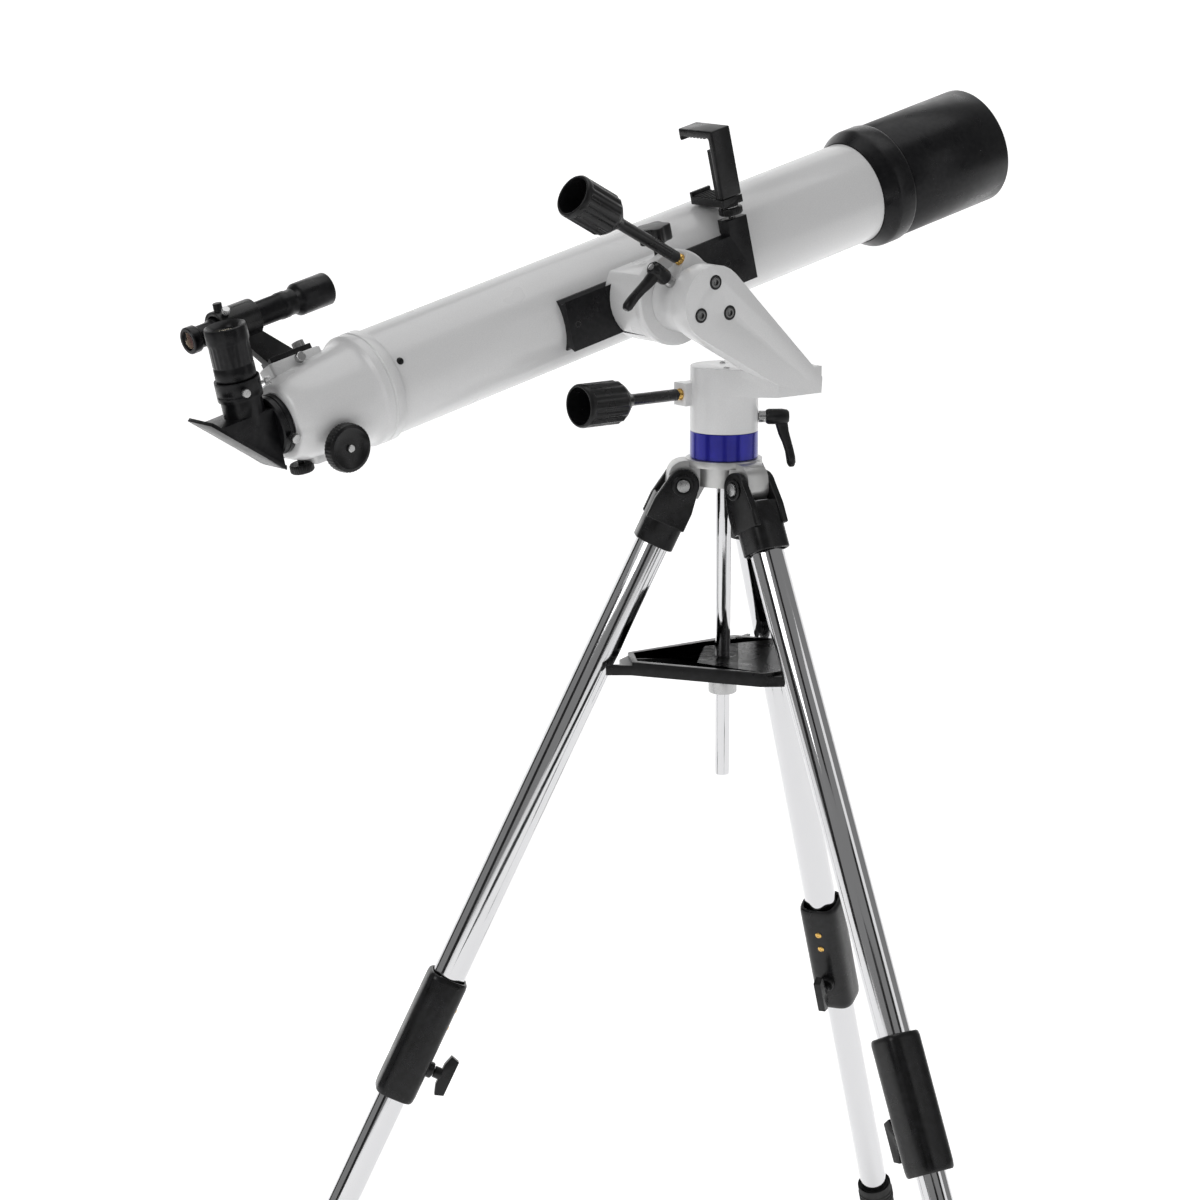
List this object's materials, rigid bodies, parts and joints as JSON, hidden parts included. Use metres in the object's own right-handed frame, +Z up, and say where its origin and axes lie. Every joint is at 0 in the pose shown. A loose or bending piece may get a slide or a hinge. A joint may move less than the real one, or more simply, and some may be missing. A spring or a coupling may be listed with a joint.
{
  "type": "telescope on tripod",
  "caption": "Small refractor telescope with a star diagonal and finder, on a single-arm altazimuth mount with worm controls and a folding tripod.",
  "frame": {"origin": "on the floor, at the middle of the bounding box", "axes": "+Z up, +Y away from the viewer, +X to the right. The telescope points 32.4 degrees from +X towards +Y and 13.5 degrees up."},
  "size_m": [0.7687, 0.7636, 1.1401],
  "materials": {
    "white_paint": "fine semi-gloss pearl paint",
    "silver_casting": "satin, lightly textured casting",
    "blue_anodised": "satin anodising with fine turning marks",
    "black_plastic": "moulded, semi-gloss",
    "black_anodised": "satin anodising",
    "chrome": "polished chrome plate",
    "steel": "turned",
    "brass": "turned",
    "rubber": "matt moulded rubber",
    "lens_glass": "coated optical glass"
  },
  "bodies": {
    "tripod": {"tripod_hub": "silver_casting", "centre_rod": "chrome", "azimuth_base": "blue_anodised", "azimuth_worm_wheel": "brass"},
    "leg_1": {"leg_bracket_1": "black_plastic", "leg_pivot_bolt_1": "steel", "upper_leg_tube_1": "chrome", "leg_collar_1": "black_plastic"},
    "wing_1": {"leg_wing_screw_1": "black_plastic"},
    "lower_leg_1": {"lower_leg_tube_1": "chrome", "rubber_foot_1": "rubber"},
    "leg_2": {"leg_bracket_2": "black_plastic", "leg_pivot_bolt_2": "steel", "upper_leg_tube_2": "chrome", "leg_collar_2": "black_plastic"},
    "wing_2": {"leg_wing_screw_2": "black_plastic"},
    "lower_leg_2": {"lower_leg_tube_2": "chrome", "rubber_foot_2": "rubber"},
    "leg_3": {"leg_bracket_3": "black_plastic", "leg_pivot_bolt_3": "steel", "upper_leg_tube_3": "chrome", "leg_collar_3": "black_plastic"},
    "wing_3": {"leg_wing_screw_3": "black_plastic"},
    "lower_leg_3": {"lower_leg_tube_3": "chrome", "rubber_foot_3": "rubber"},
    "tray_lock": {"tray_lock_knob": "steel"},
    "accessory_tray": {"tray": "black_plastic"},
    "azimuth_head": {"azimuth_housing": "white_paint", "altitude_housing": "white_paint"},
    "azimuth_control": {"azimuth_worm_shaft": "brass", "azimuth_knob": "black_plastic"},
    "azimuth_lever": {"azimuth_clamp_lever": "black_plastic"},
    "altitude_head": {"altitude_shaft": "white_paint", "altitude_worm_wheel": "brass", "saddle": "white_paint"},
    "altitude_control": {"altitude_worm_shaft": "brass", "altitude_knob": "black_plastic"},
    "altitude_lever": {"altitude_clamp_lever": "black_plastic"},
    "saddle_screw": {"saddle_knob": "black_plastic"},
    "optical_tube": {"main_tube": "white_paint", "dovetail_bar": "black_anodised", "lens_cell": "black_anodised", "dew_shield": "black_anodised", "objective_lens_rear": "lens_glass", "objective_lens_front": "lens_glass", "focuser_housing": "white_paint", "finder_bracket": "black_plastic", "phone_clamp_stud": "steel"},
    "focus_tube": {"drawtube": "black_anodised"},
    "focus_knobs": {"pinion_shaft": "steel", "focus_knob_left": "black_plastic", "focus_knob_right": "black_plastic"},
    "focus_lock": {"focus_lock_knob": "black_plastic"},
    "diagonal": {"star_diagonal": "black_anodised"},
    "eyepiece_slider": {"eyepiece": "black_anodised"},
    "finder": {"finder_scope": "black_anodised"},
    "finder_nut": {"finder_thumb_nut": "steel"},
    "phone_ring": {"phone_clamp_ring_nut": "black_plastic"},
    "phone_clamp": {"phone_clamp_body": "black_plastic"},
    "phone_jaw": {"phone_clamp_jaw": "black_plastic"}
  },
  "joints": [
    {"name": "leg_1_fold", "type": "hinge", "parent": "tripod", "child": "leg_1", "pos_m": [0.05035, 0, 0.82], "axis": [0, -1, 0], "range_deg": [0, 9]},
    {"name": "wing_1_turn", "type": "hinge", "parent": "leg_1", "child": "wing_1", "pos_m": [-0.16673, 0, 0.28348], "axis": [0.9063, 0, -0.4226], "range_deg": [0, 180]},
    {"name": "leg_1_extend", "type": "slide", "parent": "leg_1", "child": "lower_leg_1", "axis": [-0.4226, 0, -0.9063], "range_m": [-0.22, 0.15]},
    {"name": "leg_2_fold", "type": "hinge", "parent": "tripod", "child": "leg_2", "pos_m": [0.10735, -0.03291, 0.82], "axis": [0.866, 0.5, 0], "range_deg": [0, 9]},
    {"name": "wing_2_turn", "type": "hinge", "parent": "leg_2", "child": "wing_2", "pos_m": [0.21589, -0.22091, 0.28348], "axis": [-0.4532, 0.7849, -0.4226], "range_deg": [0, 180]},
    {"name": "leg_2_extend", "type": "slide", "parent": "leg_2", "child": "lower_leg_2", "axis": [0.2113, -0.366, -0.9063], "range_m": [-0.22, 0.15]},
    {"name": "leg_3_fold", "type": "hinge", "parent": "tripod", "child": "leg_3", "pos_m": [0.10735, 0.03291, 0.82], "axis": [-0.866, 0.5, 0], "range_deg": [0, 9]},
    {"name": "wing_3_turn", "type": "hinge", "parent": "leg_3", "child": "wing_3", "pos_m": [0.21589, 0.22091, 0.28348], "axis": [-0.4532, -0.7849, -0.4226], "range_deg": [0, 180]},
    {"name": "leg_3_extend", "type": "slide", "parent": "leg_3", "child": "lower_leg_3", "axis": [0.2113, 0.366, -0.9063], "range_m": [-0.22, 0.15]},
    {"name": "tray_drop", "type": "slide", "parent": "tripod", "child": "tray_lock", "axis": [0, 0, -1], "range_m": [0, 0.055]},
    {"name": "tray_turn", "type": "hinge", "parent": "tray_lock", "child": "accessory_tray", "pos_m": [0.08835, 0, 0.658], "axis": [0, 0, 1], "range_deg": [0, 60]},
    {"name": "azimuth_turn", "type": "hinge", "parent": "tripod", "child": "azimuth_head", "pos_m": [0.08835, 0, 0.866], "axis": [0, 0, 1], "continuous": true},
    {"name": "azimuth_worm", "type": "hinge", "parent": "azimuth_head", "child": "azimuth_control", "pos_m": [0.02724, -0.01569, 0.8985], "axis": [-0.8443, -0.5358, 0], "continuous": true},
    {"name": "azimuth_clamp", "type": "hinge", "parent": "azimuth_head", "child": "azimuth_lever", "pos_m": [0.12817, -0.00383, 0.878], "axis": [0.9954, -0.0958, 0], "range_deg": [-60, 60]},
    {"name": "altitude_tilt", "type": "hinge", "parent": "azimuth_head", "child": "altitude_head", "pos_m": [0.04124, -0.0299, 0.9877], "axis": [0.5358, -0.8443, 0], "range_deg": [-43.5, 51.5]},
    {"name": "altitude_worm", "type": "hinge", "parent": "azimuth_head", "child": "altitude_control", "pos_m": [0.0173, -0.0676, 1.03911], "axis": [-0.7427, -0.4713, 0.4756], "continuous": true},
    {"name": "altitude_clamp", "type": "hinge", "parent": "azimuth_head", "child": "altitude_lever", "pos_m": [0.02643, -0.06772, 1.01064], "axis": [-0.6916, -0.4389, 0.5736], "range_deg": [-5, 60]},
    {"name": "saddle_screw_turn", "type": "hinge", "parent": "altitude_head", "child": "saddle_screw", "pos_m": [0.02455, -0.01206, 1.04077], "axis": [-0.1974, -0.1253, 0.9723], "range_deg": [0, 360]},
    {"name": "tube_balance", "type": "slide", "parent": "altitude_head", "child": "optical_tube", "axis": [0.8209, 0.521, 0.2338], "range_m": [-0.04, 0.04]},
    {"name": "focus_travel", "type": "slide", "parent": "optical_tube", "child": "focus_tube", "axis": [-0.8209, -0.521, -0.2338], "range_m": [0, 0.06]},
    {"name": "focus_turn", "type": "hinge", "parent": "optical_tube", "child": "focus_knobs", "pos_m": [-0.27241, -0.11761, 0.88152], "axis": [-0.5358, 0.8443, 0], "range_deg": [0, 480]},
    {"name": "focus_lock_turn", "type": "hinge", "parent": "optical_tube", "child": "focus_lock", "pos_m": [-0.28465, -0.12538, 0.86055], "axis": [0.1974, 0.1253, -0.9723], "range_deg": [0, 180]},
    {"name": "diagonal_turn", "type": "hinge", "parent": "focus_tube", "child": "diagonal", "pos_m": [-0.31386, -0.14392, 0.89748], "axis": [0.8209, 0.521, 0.2338], "range_deg": [0, 90]},
    {"name": "eyepiece_slide", "type": "slide", "parent": "diagonal", "child": "eyepiece_slider", "axis": [-0.1974, -0.1253, 0.9723], "range_m": [0, 0.025]},
    {"name": "finder_aim", "type": "hinge", "parent": "optical_tube", "child": "finder", "pos_m": [-0.33916, -0.1126, 0.98072], "axis": [-0.1974, -0.1253, 0.9723], "range_deg": [-1.5, 1.5]},
    {"name": "finder_nut_turn", "type": "hinge", "parent": "optical_tube", "child": "finder_nut", "pos_m": [-0.28605, -0.0972, 0.96092], "axis": [-0.4123, 0.2575, 0.8739], "range_deg": [0, 360]},
    {"name": "phone_ring_turn", "type": "hinge", "parent": "optical_tube", "child": "phone_ring", "pos_m": [0.10119, 0.06381, 1.05171], "axis": [-0.1974, -0.1253, 0.9723], "continuous": true},
    {"name": "phone_clamp_swivel", "type": "hinge", "parent": "optical_tube", "child": "phone_clamp", "pos_m": [0.09961, 0.06281, 1.05949], "axis": [-0.1974, -0.1253, 0.9723], "range_deg": [-90, 90]},
    {"name": "phone_jaw_slide", "type": "slide", "parent": "phone_clamp", "child": "phone_jaw", "axis": [-0.1974, -0.1253, 0.9723], "range_m": [0, 0.03], "stiffness_N_per_m": 150, "springref_m": -0.01}
  ],
  "couplings": [
    {"joint": "leg_2_fold", "follows": "leg_1_fold", "ratio": 1},
    {"joint": "leg_3_fold", "follows": "leg_1_fold", "ratio": 1},
    {"joint": "tray_drop", "follows": "leg_1_fold", "m_per_rad": 0.35014},
    {"joint": "tray_turn", "follows": "leg_1_fold", "ratio": 6.6667},
    {"joint": "azimuth_worm", "follows": "azimuth_turn", "ratio": 60},
    {"joint": "altitude_worm", "follows": "altitude_tilt", "ratio": 80},
    {"joint": "focus_turn", "follows": "focus_travel", "rad_per_m": 125}
  ]
}
